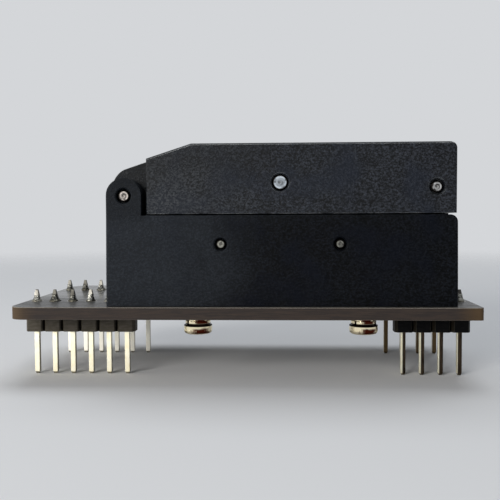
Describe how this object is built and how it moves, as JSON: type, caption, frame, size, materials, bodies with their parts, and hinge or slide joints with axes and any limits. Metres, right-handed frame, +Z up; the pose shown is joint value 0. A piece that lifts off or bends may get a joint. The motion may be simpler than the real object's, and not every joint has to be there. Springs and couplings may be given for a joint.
{
  "type": "clamshell chip programming adapter",
  "caption": "Clamshell ball-grid chip socket with a latched hinged lid, floating nest and spring probes, on a black plug-in board with square header pins in two rows.",
  "frame": {"origin": "middle of the pin field, on the plane of the pin tips", "axes": "+X along the board towards the latch end, +Y towards the rear edge of the board, +Z up"},
  "size_m": [0.061, 0.03, 0.0312],
  "materials": {
    "board_black": "glass-fibre laminate with black solder mask, satin gloss",
    "header_plastic": "black moulded plastic",
    "gold_pin": "gold-flashed square pins",
    "solder": "bright solder",
    "base_plastic": "black moulded plastic with fine mottled texture",
    "lid_plastic": "charcoal moulded plastic with fine mottled texture",
    "nest_plastic": "dark machined plastic",
    "plate_plastic": "amber brown machined plastic",
    "probe_gold": "gold plated",
    "pin_steel": "ground steel pin with turned ends",
    "spring_steel": "drawn spring wire",
    "screw_steel": "bright nickel plate",
    "insert_brass": "turned brass"
  },
  "bodies": {
    "socket": {"board": "board_black", "strip_front_left": "header_plastic", "strip_rear_left": "header_plastic", "strip_front_right": "header_plastic", "strip_rear_right": "header_plastic", "pins_front_left": "gold_pin", "pins_rear_left": "gold_pin", "pins_front_right": "gold_pin", "pins_rear_right": "gold_pin", "solder_joints": "solder", "socket_base": "base_plastic", "lower_probe_plate": "plate_plastic", "upper_probe_plate": "plate_plastic", "probe_barrels": "probe_gold", "plate_screws": "screw_steel", "nest_springs": "spring_steel", "nest_pins": "pin_steel", "hinge_pin": "pin_steel", "hinge_spring": "spring_steel", "mounting_screws": "screw_steel", "spring_washers": "screw_steel", "plain_washers": "screw_steel", "threaded_inserts": "insert_brass"},
    "lid": {"lid": "lid_plastic", "pusher_pin": "pin_steel", "latch_pin": "pin_steel", "latch_springs": "spring_steel"},
    "latch": {"latch": "lid_plastic"},
    "pusher": {"pusher": "nest_plastic"},
    "nest": {"chip_nest": "nest_plastic"},
    "probes": {"probe_plungers": "probe_gold"}
  },
  "joints": [
    {"name": "lid_hinge", "type": "hinge", "parent": "socket", "child": "lid", "pos_m": [-0.0155, 0, 0.0245], "axis": [0, -1, 0], "range_deg": [0, 105], "deforming": ["hinge_spring"]},
    {"name": "latch_pivot", "type": "hinge", "parent": "lid", "child": "latch", "pos_m": [0.02475, 0, 0.02549], "axis": [0, -1, 0], "range_deg": [0, 10], "stiffness_Nm_per_rad": 0.014, "springref_deg": -11.46, "deforming": ["latch_springs"]},
    {"name": "pusher_rock", "type": "hinge", "parent": "lid", "child": "pusher", "pos_m": [0.0048, 0, 0.02614], "axis": [0, 1, 0], "range_deg": [-2, 2]},
    {"name": "nest_float", "type": "slide", "parent": "socket", "child": "nest", "axis": [0, 0, -1], "range_m": [0, 0.0005], "stiffness_N_per_m": 1200, "springref_m": -0.001, "deforming": ["nest_springs"]},
    {"name": "probe_travel", "type": "slide", "parent": "socket", "child": "probes", "axis": [0, 0, -1], "range_m": [0, 0.0004], "stiffness_N_per_m": 15750, "springref_m": -0.0004}
  ]
}
